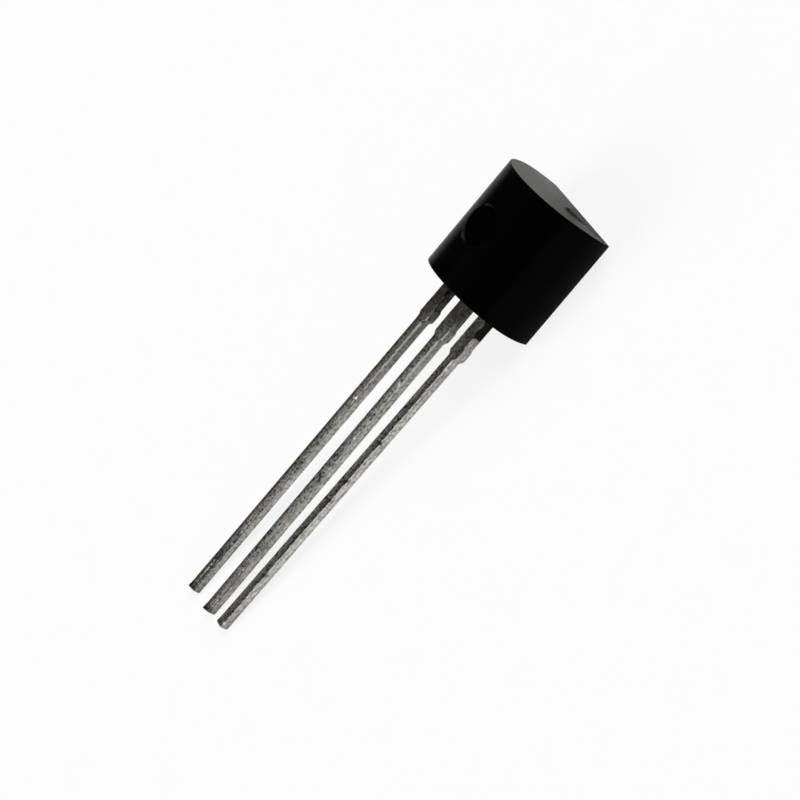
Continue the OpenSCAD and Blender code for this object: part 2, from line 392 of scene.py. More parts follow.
def broken_zone(x, y, s):
    """1 where the gate's breaking left the head rough, and 0 on its moulded skin.

    The zone lies between the stub's wall and the flat, to the right of a line from the stub's tall
    end to the flat. Both edges are bent by noise."""
    wander = ZONE_WANDER * fractal(x / ZONE_CELL, y / ZONE_CELL, seed=23)
    behind = y * math.cos(s.gate_turn) - (x - s.gate_x) * math.sin(s.gate_turn)
    past_line = smoothstep(*ZONE_LINE, x - s.gate_x + ZONE_LEAN * y + wander)
    return smoothstep(*ZONE_WALL, behind + wander) * past_line


def moulding_shell(s):
    """The whole moulding: head, rim, side, lower rim and lower face over one D outline, with the
    ejector mark set into a frame of the side's points, and the gate stub standing in the head."""
    shell = Shell("broken", "pin_face", "end_face")
    outline, outward = d_outline(s.corner_radius)
    shares, turn = np.linspace(FACE_POLE, 1, FACE_STEPS + 1)[:-1], quarter(RIM_STEPS)
    head = end_rings(outline, outward, s.rim_radius, shares, turn, True)
    foot = end_rings(outline, outward, s.rim_radius, shares[::2], turn, False)[::-1]
    t = np.linspace(0, 1, SIDE_STEPS + 1)[1:-1, None, None]
    side = head[-1] * (1 - t) + foot[0] * t
    rings = np.concatenate([head, side, foot])
    broken = broken_zone(rings[..., 0], rings[..., 1], s)
    broken[len(head) - len(turn):] = 0
    noise = fractal(rings[..., 0] / ROUGH_CELL, rings[..., 1] / ROUGH_CELL, seed=41)
    rings[..., 2] -= broken * ROUGH_DEPTH * (1 + noise)
    on_end = np.ones((len(rings), 1))
    on_end[len(head) - len(turn) + 1: len(head) + len(side) + len(turn) - 1] = 0
    numbers = shell.add_points(rings, broken=broken, end_face=on_end)
    shell.close_ends(rings, numbers, broken=broken, end_face=on_end)

    # The side's grid is open where the ejector mark's frame lies: rows r0 to r1, columns c0 to c1
    reach = FRAME_SHARE * s.ejector_diameter
    crown = len(outline) - ARC_STEPS // 2
    rows = np.flatnonzero(np.abs(rings[:, crown, 2] - s.ejector_height) < reach)
    columns = np.flatnonzero((np.abs(outline[:, 0]) < reach) & (outline[:, 1] < 0))
    r0, r1, c0, c1 = rows[0], rows[-1], columns[0], columns[-1]
    quads = band(numbers[:-1], numbers[1:])
    keep = np.ones(quads.shape[:2], bool)
    keep[r0:r1, c0:c1] = False
    shell.add_faces(quads[keep])
    around = np.concatenate([
        numbers[r0, c0:c1], numbers[r0:r1, c1], numbers[r1, c1:c0:-1], numbers[r1:r0:-1, c0]])
    mark, on_floor, painted_highlight = ejector_rings(rings.reshape(-1, 3)[around][:, [0, 2]], s)
    # The lip's painted highlight takes the bare filler's colour through the broken value
    inner = shell.add_points(mark, pin_face=on_floor, broken=s.rim_highlight * painted_highlight)
    loops = np.concatenate([around[None], inner])
    shell.add_faces(band(loops[:-1], loops[1:]))
    pole = shell.add_points(mark[-1].mean(axis=0)[None], pin_face=1.0)[0]
    shell.add_faces(fan(pole, loops[-1][::-1]))
    shell.add_rings(gate_rings(s), broken=1.0, end_face=1.0)
    return shell


# ---- shape of a lead ----

LEAD_PITCH = 1.27 * MM
# A lead's widened end lies higher than the first of these and reaches further than the second from
# the exit's line, and one that is broader than the third is the die pad
WIDE_Z, WIDE_X, PAD_WIDTH = 0.5 * MM, 0.36 * MM, 1.5 * MM
# Steps along a side of the section, round its corner, round a locking notch and round the tip
SECTION_STEPS, EDGE_STEPS, NOTCH_STEPS, TIP_STEPS = 14, 6, 12, 6
# Height in the body at which the finished rows start, how many lead from there to the exit, and how
# far apart they are outside
OUTER_TOP, EXIT_ROWS, ROW_STEP = 0.32 * MM, 8, 0.03 * MM
# How far the stub's left end lies nearer the body than its middle does, and its right end further from
# it, and the depth and cell of their ragged edges
STUB_SKEW, STUB_RAGGED, STUB_CELL = 0.02 * MM, 0.006 * MM, 0.12 * MM
# How far from the tip the burr and the slant start, and where the darkening towards the cut starts
# and is full
BURR_RUN, SLANT_RUN, CUT_RUN = 0.3 * MM, 0.5 * MM, (0.35 * MM, 0.05 * MM)
# Heights at the exit over which the skin's relief fades in, and the share of it that the sheared sides
# lack
EXIT_BLEND, SMOOTHER = (0.02 * MM, -0.04 * MM), 0.6
# A lead is about this many millimetres round, which sets its UVs
GIRTH = 1.5
# Places across a rolled face, from -1 to 1, at which its tones are given; lower tones towards an
# edge are painted shade
ROLLED_PLACES = (-1, -0.4, 0, 0.3, 0.6, 1)
# Middle and width beside a corner, in shares of a turn, of the drawn groove and of the bites
GROOVE, BITES = (0.068, 0.016), (-0.03, 0.026)
# The skin's waves, rolling marks and grain, as (height, cells round the lead, millimetres along it),
# and the depth at which their mean lies
RELIEF, RELIEF_MEAN = ((1, 6, 1.6), (0.55, 10, 0.32), (0.35, 40, 0.07)), 1.9


def lead_facts(node):
    """Where a lead's CAD node exits, leans and ends, and its outline inside the body.

    The tip's vertices lie within a sliver of the lowest height, and the exit is the nearest place in
    the row. Inside the body the widened end runs from its foot to the top, and the neck's half width
    is the nearest that the foot's vertices come to the line of the exit."""
    points = node_points(node)
    x, z = points[:, 0], points[:, 2]
    tip, top = x[z < z.min() + SLIVER], x[z > z.max() - SLIVER]
    tip_x = (tip.min() + tip.max()) / 2
    exit_x = round(tip_x / LEAD_PITCH) * LEAD_PITCH
    wide = (z > WIDE_Z) & (np.abs(x - exit_x) > WIDE_X)
    at_foot = np.abs(z - z[wide].min()) < SLIVER
    return {
        "exit_x": exit_x,
        "slant": (tip_x - exit_x) / z.min(),
        "length": -z.min(),
        "thickness": np.ptp(points[:, 1]),
        "foot": z[wide].min(),
        "top": z.max(),
        "ends": np.array([[top.min()], [top.max()]]),
        "neck": np.abs(x[at_foot] - exit_x).min(),
    }


def section_places(flat_steps, corner_steps):
    """Points round a rounded rectangle, anticlockwise seen from the head, from the middle of the side
    that faces the flat. Each has a place k on the square from -1 to 1, which spreads with the size,
    and a direction n, which carries the corner radius."""
    along = np.linspace(-1, 1, flat_steps + 1)[1:-1, None]
    corners = np.array([(-1, 1), (-1, -1), (1, -1), (1, 1)])
    k, n = [], []
    for i, (here, after) in enumerate(zip(corners, np.roll(corners, -1, axis=0))):
        turn = math.pi / 2 * (1 + i) + quarter(corner_steps)
        k += [np.tile(here, (len(turn), 1)), along * (after - here) / 2 + (here + after) / 2]
        n += [np.stack([np.cos(turn), np.sin(turn)], 1), np.tile((here + after) / 2, (len(along), 1))]
    return [np.roll(np.concatenate(each), flat_steps // 2, axis=0) for each in (k, n)]


def outer_edges(z, facts, s, wear):
    """Left and right edge of a lead outside the body, as two rows, at heights z.

    The half width steps by smoothsteps: the plain lead, which tapers a little to its tip, the dam
    bar's stub, then the neck. The line of the middle leans from the exit. The stub's two ends were
    sheared apart, so they are ragged, and the cropped tip has a burr on its left side."""
    edges = []
    for i, (side, seed) in enumerate(((-1, 3), (1, 11))):
        neck, stub, root, tip = (wear[part][i] * MM for part in ("neck", "stub", "root", "tip"))
        plain = np.interp(z, [-facts["length"], -s.shoulder_end], [tip, root])
        skewed = z + side * STUB_SKEW
        up = smoothstep(-s.shoulder_end, -s.shoulder_end + s.shoulder_slope, skewed)
        down = smoothstep(-s.dam_top - s.dam_slope, -s.dam_top, skewed)
        ragged = STUB_RAGGED * up * (1 - down) * fractal(z / STUB_CELL, 0 * z, seed + s.grain_seed)
        half = plain + (stub - plain) * up - (stub - neck) * down - np.abs(ragged)
        half = half + (side < 0) * s.burr * smoothstep(BURR_RUN - facts["length"], -facts["length"], z)
        edges.append(facts["exit_x"] + facts["slant"] * np.minimum(z, 0) + side * half)
    return np.array(edges)


def lead_rows(facts, s, wear):
    """Heights z of a lead from its inner end down to its tip, and its edges there, as two rows.

    Inside the body the rows are few: the widened end, a step to the neck, and for the die pad's
    lead two half-round locking notches of radius r, where the half width is less by sqrt(r^2 - dz^2)."""
    foot, half = facts["foot"], [facts["neck"]]
    inner_z = [facts["top"], foot, foot]
    if np.ptp(facts["ends"]) > PAD_WIDTH:
        turn = np.linspace(0, math.pi, NOTCH_STEPS + 1)
        inner_z = [*inner_z, *(foot / 2 + s.notch_radius * np.cos(turn))]
        half = [*half, *(facts["neck"] - s.notch_radius * np.sin(turn))]
    necks = facts["exit_x"] + np.array([[-1], [1]]) * [*half, facts["neck"]]
    exit_z = np.linspace(OUTER_TOP, 0, EXIT_ROWS)
    outer_z = np.concatenate([exit_z, np.arange(-ROW_STEP, -facts["length"], -ROW_STEP)])
    outer = outer_edges(outer_z, facts, s, wear)
    z = np.concatenate([inner_z, [OUTER_TOP], outer_z])
    return z, np.hstack([facts["ends"], facts["ends"], necks, outer])


def along_lead(z, places):
    """A value along a lead, straight between places given as (millimetres from the body, value)."""
    drops, values = zip(*places)
    return np.interp(-z / MM, drops, values)[:, None]


def skin_noise(share, z, around, cell, seed):
    """Fractal noise over a lead's skin, with so many cells to a turn, each so many millimetres long."""
    return fractal(share * around, z[:, None] / (cell * MM), seed)


def bell(x, middle, width):
    """A Gaussian hump, e to the power of minus ((x - middle) / width) squared."""
    return np.exp(-((x - middle) / width) ** 2)


def lead_shell(facts, s, wear):
    """A lead as a rounded rectangle carried from its inner end to its tip.

    A point is the row's middle, plus k times the half width or half thickness less the corner
    radius, plus n times the radius. Below the seating plane the skin is pressed in along n by its
    relief, less on the smoother sheared sides, and by the marks, each a Gaussian about a slanting
    line. The last rows close in by a quarter circle, and slant by a share of x, the cropped tip."""
    shell = Shell("sheared", "tone", "stain", "resin", "scuff")
    longer, tip_round, slope = wear["cut"]
    facts = {**facts, "length": facts["length"] + longer * MM}
    z, edges = lead_rows(facts, s, wear)
    k, n = section_places(SECTION_STEPS, EDGE_STEPS)
    turn = quarter(TIP_STEPS)
    tip_z = -facts["length"] + tip_round * MM * (1 - np.sin(turn))
    keep = z > tip_z[0]
    left, right = np.hstack([edges[:, keep], outer_edges(tip_z, facts, s, wear)])[..., None]
    z = np.concatenate([z[keep], tip_z])
    close = np.concatenate([np.zeros(keep.sum()), tip_round * MM * (1 - np.cos(turn))])[:, None]
    radius = wear["edge"] * MM
    half_w = (right - left) / 2 - radius - close
    half_t = facts["thickness"] / 2 - radius - close
    mid = (left + right) / 2
    share = np.arange(len(k)) / len(k)
    beside = corner_distance(share, z, wear)
    sheared = smoothstep(*wear["blend"], beside)
    press = relief(share, z, s) * (1 - SMOOTHER * sheared) * smoothstep(*EXIT_BLEND, z)[:, None]
    scuff = rubbed_edge_and_highlight(share, z, wear, beside)
    # Marks dent the skin; a bright one is partly a painted glint, and a dark one holds dirt
    for drop, place, slant, long, wide, depth, tone in wear["marks"]:
        down = (z[:, None] + drop * MM) / (long * MM)
        dent = np.exp(-(down**2) - ((share - place + slant * down) / wide) ** 2)
        press = press + depth * MM * dent
        scuff = scuff * (1 - dent * (tone < 0)) + tone * dent
    scuff = scuff + drawn_lines(share, z, wear, beside)
    x = mid + k[:, 0] * half_w + (radius - press) * n[:, 0]
    y = k[:, 1] * half_t + (radius - press) * n[:, 1]
    near_tip = smoothstep(SLANT_RUN, 0, z + facts["length"])[:, None]
    rings = np.dstack([x, y, z[:, None] + slope * near_tip * (x - mid)])
    uv = np.dstack(np.broadcast_arrays(share * GIRTH, z[:, None] / MM))
    # Tones across a rolled face paint shade towards its edges, and tones along the lead partly paint the
    # light and shade that fall along it; the stain near the body is partly painted shade, and the resin
    # partly a painted shadow
    rolled = np.interp(k[:, 0], ROLLED_PLACES, wear["rolled"]) * along_lead(z, wear["back"])
    shell.add_rings(
        rings, uv, sheared=sheared, scuff=np.clip(scuff, -1, 1),
        tone=rolled + (along_lead(z, wear["side"]) - rolled) * sheared,
        stain=heat_stain_and_shade(share, z, wear, sheared, facts["length"]),
        resin=resin_flash_and_shadow(share, z, wear["resin"]))
    return shell


def corner_distance(share, z, wear):
    """How far a point lies past the nearest corner, in shares of a turn: more than 0 on the sheared
    sides, whose middles are at 0.25 and 0.75, and less on the rolled faces. Noise of the height bends
    the line at the two corners that face away from the flat."""
    on_side = 0.125 - np.abs(share % 0.5 - 0.25) + along_lead(z, wear["corner"])
    bend = skin_noise(share, z, around=0, cell=0.1, seed=71) * (np.abs(share - 0.5) < 0.25)
    return on_side - along_lead(z, wear["jagged"]) * bend


def heat_stain_and_shade(share, z, wear, sheared, length):
    """0 to 1 near the body, where heat stained the plating and a painted shade stands for the body's
    shadow on the leads, by amounts along the lead at a height that noise shifts, less on the sheared
    sides by the share given as clean, and darker towards the cropped tip."""
    shift, tip_darkening, less = 0.25 * MM, 0.75, 0.7
    shifted = z[:, None] + shift * skin_noise(share, z, around=9, cell=0.7, seed=5)
    heat = np.interp(-shifted / MM, *zip(*wear["stain"])) * (1 - wear["clean_side"] * sheared)
    cut = smoothstep(*CUT_RUN, z + length)[:, None] * (1 - less * sheared)
    return np.maximum(heat, tip_darkening * cut)


def rubbed_edge_and_highlight(share, z, wear, beside):
    """0 to 1 where the corners are rubbed bright, with a painted highlight along them: a Gaussian about a
    line just past each corner, on the sheared side, wider where the amount along the lead is more,
    and broken into dots."""
    place, width, wider, broken, full = 0.008, 0.016, 0.008, 0.75, 0.5
    dots = 0.5 + 0.5 * skin_noise(share, z, around=10, cell=0.13, seed=61)
    amount = along_lead(z, wear["rubbed"])
    return bell(beside, place, width + wider * amount) * smoothstep(0, full, amount - broken * dots)


def drawn_lines(share, z, wear, beside):
    """Dark and bright lines that the stamping drew along a lead, as fractal noise whose bright parts
    are weaker, less a Gaussian groove on the sheared side beside each corner, and less bites out of
    the rolled face before it, a Gaussian times smoothed noise."""
    weaker, shallow, deepest = 0.35, -0.2, 0.3
    lines = skin_noise(share, z, around=22, cell=0.2, seed=47)
    lines = np.where(lines > 0, weaker * lines, lines) * along_lead(z, wear["lines"])
    groove = along_lead(z, wear["groove"]) * bell(beside, *GROOVE)
    deep = smoothstep(shallow, deepest, skin_noise(share, z, around=3, cell=0.22, seed=83))
    return lines - groove - along_lead(z, wear["bites"]) * bell(beside, *BITES) * deep


def relief(share, z, s):
    """How deep a lead's skin lies under its true size: layers of value noise over the share of the
    way round and the height, about a mean depth that keeps every one of them below that size."""
    return s.relief_depth * sum((
        height * value_noise(share * around, z[:, None] / MM / cell, s.grain_seed + i, wrap=around)
        for i, (height, around, cell) in enumerate(RELIEF)), RELIEF_MEAN)


def resin_flash_and_shadow(share, z, resin):
    """1 where a skin of resin has run out along the lead, partly a painted shadow of the body there,
    over a span of the way round and down to a depth, with edges that noise bends."""
    first, last, drop = resin
    fade, end_fade, end_bend, first_bend, last_bend = 0.01, 0.05 * MM, 0.06 * MM, 0.045, 0.03
    wander = skin_noise(share, z, around=14, cell=0.17, seed=31)
    end = -drop * MM
    down = smoothstep(end, end + end_fade, z[:, None] + end_bend * wander)
    across = smoothstep(first - fade, first + fade, share + first_bend * wander)
    return down * across * smoothstep(last + fade, last - fade, share + last_bend * wander)


# ---- materials ----

WHITE = (1, 1, 1)
NODE_SPACING = 190
# Settings of a Mix node for colours, of a Math node that multiplies inputs 0 and 1, and of one that
# adds input 2 to that
COLOURS = {"out": "Result_Color", "data_type": "RGBA"}
TIMES = {"operation": "MULTIPLY"}
TIMES_PLUS = {"operation": "MULTIPLY_ADD"}


def srgb(code):
    """An sRGB hex colour as the linear numbers that a shader takes."""
    parts = [int(code[i:i + 2], 16) / 255 for i in (1, 3, 5)]
    return [c / 12.92 if c <= 0.04045 else ((c + 0.055) / 1.055) ** 2.4 for c in parts]


def find(sockets, key):
    """The socket with that identifier, place or name."""
    return {s.identifier: s for s in sockets}.get(key) or sockets[key]


def rgba(colour):
    """A colour of three numbers with an alpha of 1."""
    return [*colour, 1.0]


def add_node(tree, kind, inputs=None, out=0, **settings):
    """Adds a node with its settings, fills or links its inputs, and returns one of its outputs."""
    node = tree.nodes.new("ShaderNode" + kind)
    node.location = (NODE_SPACING * len(tree.nodes), 0)
    for key, value in settings.items():
        setattr(node, key, value)
    for key, value in (inputs or {}).items():
        socket = find(node.inputs, key)
        if isinstance(value, bpy.types.NodeSocket):
            tree.links.new(value, socket)
        else:
            socket.default_value = rgba(value) if socket.type == "RGBA" else value
    return find(node.outputs, out) if len(node.outputs) else None


def new_material(name):
    """A new material with an empty node tree, and the function that adds nodes to that tree."""
    material = bpy.data.materials.new(name)
    material.use_nodes = True
    material.node_tree.nodes.clear()
    return material, partial(add_node, material.node_tree)


def per(millimetres):
    """Scale of a pattern on Object coordinates whose cells measure that many millimetres."""
    return 1 / (millimetres * MM)


def moulded_epoxy(s):
    """Mineral-filled epoxy moulding compound, black, from a spark-eroded steel mould.

    A thin skin of resin lies over the filler, so the sides stay near black and mirror only what is
    bright, softly. Where the gate broke off, bare filler shows: rough, and greyer than the skin. The
    same grey is painted in patches on the ejector mark's lip as a painted highlight. The end faces are
    painted paler, partly a painted sheen that stands for their grazing reflection. The ejector pin's
    ground end leaves a smoother floor in its mark."""
    material, add = new_material("moulded_epoxy")
    place = add("TexCoord", out="Object")
    broken, pin, end = (
        add("Attribute", out="Fac", attribute_name=name) for name in ("broken", "pin_face", "end_face"))
    # The mould's spark pits are some 0.01 mm wide and the filler's grains 0.03 mm. Both are too fine
    # to show, so the pits are drawn at the grain size and the grains in clumps of 0.14 mm. The skin
    # clouds over 0.7 mm, where the resin is richer.
    grain = add("TexNoise", {
        "Vector": place, "Scale": per(s.grain_size / MM), "Detail": 4.0, "Roughness": 0.65}, "Fac")
    filler = add("TexVoronoi", {"Vector": place, "Scale": per(0.14)}, "Distance")
    cloud = add("TexNoise", {"Vector": place, "Scale": per(0.7), "Detail": 3.0}, "Fac")
    skin = add("Mix", {"Factor_Float": cloud, "A_Color": s.colour, "B_Color": s.colour_cloud}, **COLOURS)
    # The end faces are painted paler, partly a painted sheen that stands for their grazing reflection
    end_sheen = add("MapRange", {"Value": cloud, "To Min": 0.75, "To Max": 1.0})
    end_sheen = add("Math", {0: end_sheen, 1: end}, **TIMES)
    skin = add("Mix", {"Factor_Float": end_sheen, "A_Color": skin, "B_Color": s.colour_end_and_sheen}, **COLOURS)
    # Bare filler where the gate broke off; the same colour is painted on the ejector mark's lip as a
    # painted highlight
    bare = add("Mix", {
        "Factor_Float": filler, "A_Color": s.colour_bare_and_lip_highlight, "B_Color": s.colour_torn}, **COLOURS)
    colour = add("Mix", {"Factor_Float": broken, "A_Color": skin, "B_Color": bare}, **COLOURS)
    rough = add("MapRange", {
        "Value": grain, "To Min": s.roughness - 0.05, "To Max": s.roughness + 0.05})
    # How much rougher than the skin each place is
    for zone, more in ((broken, 0.2), (end, 0.03), (pin, -0.04)):
        rough = add("Math", {0: zone, 1: more, 2: rough}, **TIMES_PLUS)
    clumps = add("Math", {0: filler, 1: broken}, **TIMES)
    height = add("Math", {0: clumps, 1: 2.0, 2: grain}, **TIMES_PLUS)
    bump = add("Bump", {"Height": height, "Strength": 1.0, "Distance": s.grain_depth})
    shader = add("BsdfPrincipled", {
        "Base Color": colour, "Roughness": rough, "Normal": bump, "Specular IOR Level": s.gloss})
    add("OutputMaterial", {"Surface": shader})
    return material


def tinned_copper(s):
    """A stamped copper-alloy lead, tin plated and cropped, dulled by handling.

    The rolled faces are a soft grey metal, mottled and pitted by their grain, with painted shade
    towards their edges. The sheared sides are smoother and paler, with faint lines along the lead;
    the tones of both also paint light and shade along the lead. Rubbed edges and scratches scatter
    the light and look pale, with a painted highlight on the corners and painted glints. Heat stained
    the plating near the body, where a painted shade also stands for the body's shadow, the cropped
    tips are darker, nicks hold dirt, and resin is black, partly as a painted shadow of the body."""
    material, add = new_material("tinned_copper")
    place = add("TexCoord", out="Object")
    uv = add("TexCoord", out="UV")
    sheared, tone, stain, resin, scuff = (
        add("Attribute", out="Fac", attribute_name=name)
        for name in ("sheared", "tone", "stain", "resin", "scuff"))
    # The plating's own grains are some 0.005 mm wide, too fine to show. They are drawn as mottles of
    # the grain size and pits of 0.1 mm. The tarnish clouds over 0.6 mm and further along the lead,
    # and the lines that the tool drew are 14 to a millimetre, each about 0.7 mm long.
    drawn = add("Mapping", {"Vector": place, "Scale": (0.6, 1.0, 1.0)})
    along = add("Mapping", {"Vector": uv, "Scale": (14.0, 1.4, 1.0)})
    grain = add("TexNoise", {
        "Vector": place, "Scale": per(s.grain_size / MM), "Detail": 4.0, "Roughness": 0.6}, "Fac")
    pits = add("TexNoise", {"Vector": place, "Scale": per(0.1), "Detail": 2.0}, "Fac")
    cloud = add("TexNoise", {"Vector": drawn, "Scale": per(0.6), "Detail": 3.0}, "Fac")
    streak = add("TexNoise", {"Vector": along, "Scale": 1.0, "Detail": 3.0}, "Fac")
    # The mottle is the grain plus shares of the clouds and pits, and the sides' lines are that plus
    # a share of the streaks
    mottle = grain
    for part, share in ((cloud, 0.35), (pits, 0.9)):
        mottle = add("Math", {0: part, 1: share, 2: mottle}, **TIMES_PLUS)
    lines = add("Math", {0: streak, 1: 0.6, 2: mottle}, **TIMES_PLUS)
    light = add("MapRange", {"Value": mottle, "From Min": 0.9, "From Max": 1.35})
    fine = add("MapRange", {"Value": lines, "From Min": 1.2, "From Max": 1.64})
    tin = add("Mix", {"Factor_Float": light, "A_Color": s.colour_dull, "B_Color": s.colour}, **COLOURS)
    side = add("Mix", {
        "Factor_Float": fine, "A_Color": s.colour_side_shade, "B_Color": s.colour_side}, **COLOURS)
    skin = add("Mix", {"Factor_Float": sheared, "A_Color": tin, "B_Color": side}, **COLOURS)
    # The tone brightens and darkens the skin, partly as painted light and shade
    toned = add("VectorMath", {0: skin, "Scale": tone}, operation="SCALE")
    # Heat stain near the body, with a painted shade there for the body's shadow on the leads
    stain_and_shade_colour = add("Mix", {
        "Factor_Float": light, "A_Color": s.colour_heat_stain_and_shade, "B_Color": s.colour_pale_stain_and_shade}, **COLOURS)
    # The stain is thinner, so paler, on the rolled faces (1) than on the sheared sides (0.2), and the
    # painted shade with it is paler there too
    rolled = add("Math", {0: sheared, 1: -0.8, 2: 1.0}, **TIMES_PLUS)
    paler = add("MapRange", {"Value": rolled, "To Min": 0.95, "To Max": 1.75})
    stain_and_shade_colour = add("VectorMath", {0: stain_and_shade_colour, "Scale": paler}, operation="SCALE")
    stained_and_shaded = add("Mix", {"Factor_Float": stain, "A_Color": toned, "B_Color": stain_and_shade_colour}, **COLOURS)
    hue = add("MapRange", {"Value": cloud, "From Min": 0.35, "From Max": 0.65})
    hue = add("Mix", {"Factor_Float": hue, "A_Color": s.hue_cool, "B_Color": s.hue_warm}, **COLOURS)
    tinted = add("VectorMath", {0: stained_and_shaded, 1: hue}, **TIMES)
    # A scuff above 0 is rubbed bright, with a painted highlight and painted glints, and one below 0
    # holds dirt
    rubbed = add("Math", {0: scuff, 1: 0.0}, operation="MAXIMUM")
    dirt = add("MapRange", {"Value": scuff, "From Max": -1.0, "To Max": 0.85})
    # Resin flash, partly a painted shadow of the body on the leads
    crumbs = add("Mix", {
        "Factor_Float": light, "A_Color": s.colour_resin_and_shadow, "B_Color": s.colour_heat_stain_and_shade}, **COLOURS)
    colour = tinted
    for amount, over in ((rubbed, s.colour_rubbed_and_highlight), (dirt, s.colour_dirt), (resin, crumbs)):
        colour = add("Mix", {"Factor_Float": amount, "A_Color": colour, "B_Color": over}, **COLOURS)
    rough = add("MapRange", {"Value": light, "To Min": s.roughness + 0.14, "To Max": s.roughness})
    rough = add("Math", {0: rubbed, 1: -0.1, 2: rough}, **TIMES_PLUS)
    # Scratched metal scatters, so it is drawn as half metal, which keeps its painted highlight pale
    # under any light, and resin as none
    metal = add("Math", {0: rubbed, 1: -0.5, 2: 1.0}, **TIMES_PLUS)
    bare = add("Math", {0: 1.0, 1: resin}, operation="SUBTRACT")
    metal = add("Math", {0: metal, 1: bare}, **TIMES)
    height = add("Math", {0: pits, 1: rolled}, **TIMES)
    height = add("Math", {0: streak, 1: 0.5, 2: height}, **TIMES_PLUS)
    bump = add("Bump", {"Height": height, "Strength": 1.0, "Distance": s.grain_depth})
    shader = add("BsdfPrincipled", {
        "Base Color": colour, "Metallic": metal, "Roughness": rough, "Normal": bump,
        "Specular IOR Level": 0.04})
    add("OutputMaterial", {"Surface": shader})
    return material


def inner_finish(name, base, shade, roughness, cell):
    """A bright, finely grained surface inside the body: a metal, or silicon and silver-filled resin,
    which mirror much as metals do.

    Its tone and roughness vary a little over cells of a size in millimetres, coarser than the real
    grain, which is too fine to show."""
    material, add = new_material(name)
    place = add("TexCoord", out="Object")
    grain = add("TexNoise", {"Vector": place, "Scale": per(cell), "Detail": 3.0}, "Fac")
    colour = add("Mix", {"Factor_Float": grain, "A_Color": base, "B_Color": shade}, **COLOURS)
    rough = add("MapRange", {"Value": grain, "To Min": roughness, "To Max": roughness + 0.15})
    bump = add("Bump", {"Height": grain, "Strength": 0.5, "Distance": 0.001 * MM})
    shader = add("BsdfPrincipled", {
        "Base Color": colour, "Metallic": 1.0, "Roughness": rough, "Normal": bump})
    add("OutputMaterial", {"Surface": shader})
    return material


def white_light_table(s):
    """Opal acrylic over white paint: an even white ground that keeps only part of a shadow.

    The paint scatters the lamps' light, with a faint grain of 1.5 mm. To the eye, and to a lesser
    share in reflections, plain white glows through it, which lights nothing else."""
    material, add = new_material("white_light_table")
    place = add("TexCoord", out="Object")
    grain = add("TexNoise", {"Vector": place, "Scale": per(1.5), "Detail": 2.0}, "Fac")
    colour = add("Mix", {
        "Factor_Float": grain, "A_Color": s.cove_colour, "B_Color": s.cove_shade}, **COLOURS)
    paint = add("BsdfDiffuse", {"Color": colour, "Roughness": 0.5})
    glow = add("Emission", {"Color": WHITE, "Strength": 1.0})
    seen, mirrored, through = (
        add("LightPath", out=f"Is {ray} Ray") for ray in ("Camera", "Glossy", "Transmission"))
    seen = add("Math", {0: seen, 1: through}, operation="MAXIMUM")
    seen = add("Math", {0: seen, 1: s.cove_glow}, **TIMES)
    share = add("Math", {0: mirrored, 1: s.cove_mirrored, 2: seen}, **TIMES_PLUS)
    mixed = add("MixShader", {0: share, 1: paint, 2: glow})
    add("OutputMaterial", {"Surface": mixed})
    return material


# ---- sizes and colours that a user would change ----

def length(name, millimetres, text):
    """A length property, given in millimetres and kept in metres."""
    return bpy.props.FloatProperty(
        name=name, description=text, default=millimetres * MM, precision=5,
        unit="LENGTH", subtype="DISTANCE")


def colour(name, code, text):
    """A colour property, given as sRGB hex and kept linear."""
    return bpy.props.FloatVectorProperty(
        name=name, description=text, default=srgb(code), size=3, min=0, max=1, subtype="COLOR")


def factor(name, value, text):
    """A property from 0 to 1."""
    return bpy.props.FloatProperty(
        name=name, description=text, default=value, min=0, max=1, subtype="FACTOR")


def angle(name, degrees, text):
    """An angle property, given in degrees and kept in radians."""
    return bpy.props.FloatProperty(
        name=name, description=text, default=math.radians(degrees), unit="ROTATION", subtype="ANGLE")


class MouldingSettings(bpy.types.PropertyGroup):
    """Sizes and colours of the moulded body."""
    rim_radius: length("Rim Radius", 0.018, "Radius round both end faces")
    corner_radius: length("Corner Radius", 0.02, "Radius where the flat meets the round side")
    ejector_diameter: length("Ejector Mark", 1.6, "Diameter of the ejector pin's mark")
    ejector_depth: length("Ejector Depth", 0.22, "Depth of the mark below the crown")
    ejector_height: length("Ejector Height", 2.33, "Height of the mark's centre over the leads' exit")
    ejector_lip: length("Ejector Lip", 0.02, "Radius at the mark's rim and round its floor")
    gate_x: length("Gate Place", 0.62, "Place of the stub's tall end along the parting line")
    gate_width: length("Gate Width", 0.88, "Width of the broken stub")
    gate_run: length("Gate Run", 0.56, "Run of the stub from its wall to nothing")
    gate_height: length("Gate Height", 0.079, "Height of the stub's wall")
    gate_turn: angle("Gate Turn", 35, "Turn of the stub's wall from the parting line")
    colour: colour("Colour", "#010102", "Moulded skin")
    colour_cloud: colour("Cloud", "#040403", "Faint clouding of the skin")
    # Also the colour of the painted highlight on the ejector mark's lip
    colour_bare_and_lip_highlight: colour("Bare Filler", "#55534c", "Torn and worn places")
    colour_torn: colour("Torn Resin", "#1e1d1a", "Pits in the torn places")
    # Paler colour of the end faces, partly a painted sheen of their grazing reflection
    colour_end_and_sheen: colour("End Faces", "#27241a", "Matt skin of the end faces")
    # Strength of the painted highlight on the ejector mark's lip
    rim_highlight: factor("Rim Wear", 0.8, "Wear of the ejector mark's rim")
    gloss: factor("Gloss", 0.02, "Specular level of the resin skin")
    roughness: factor("Roughness", 0.24, "Roughness of the moulded skin")
    grain_size: length("Grain Size", 0.05, "Grain of the mould's eroded surface")
    grain_depth: length("Grain Depth", 0.0012, "Depth of the grain")


